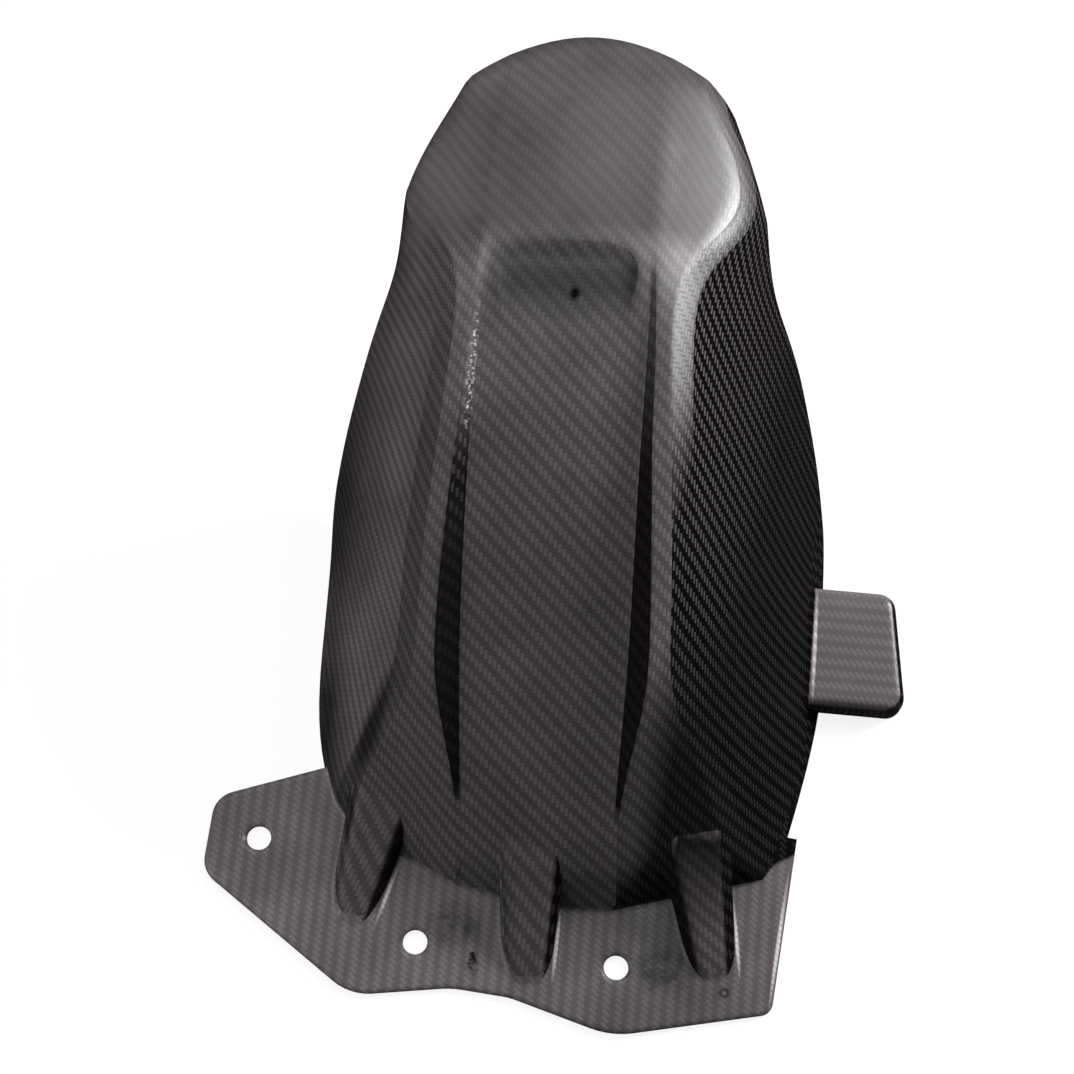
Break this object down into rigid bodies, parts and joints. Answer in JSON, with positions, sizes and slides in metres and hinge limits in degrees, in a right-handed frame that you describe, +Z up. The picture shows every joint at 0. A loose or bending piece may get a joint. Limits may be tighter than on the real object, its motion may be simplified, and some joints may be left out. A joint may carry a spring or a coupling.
{
  "type": "motorcycle rear mudguard",
  "caption": "Moulded carbon-fibre rear mudguard: an arched tyre cover with raised rails, a sunk panel, buttress ribs, a drilled bolting flange and a side tab.",
  "frame": {"origin": "centre of the middle bolt hole on the underside of the flange", "axes": "+Z up out of the flange along the bolt hole, +Y towards the rear of the machine, +X to the right in the picture"},
  "size_m": [0.309, 0.4289, 0.1275],
  "materials": {
    "carbon_laminate": "satin clear-coated twill weave"
  },
  "bodies": {
    "root": {"mudguard_shell": "carbon_laminate"}
  },
  "joints": []
}
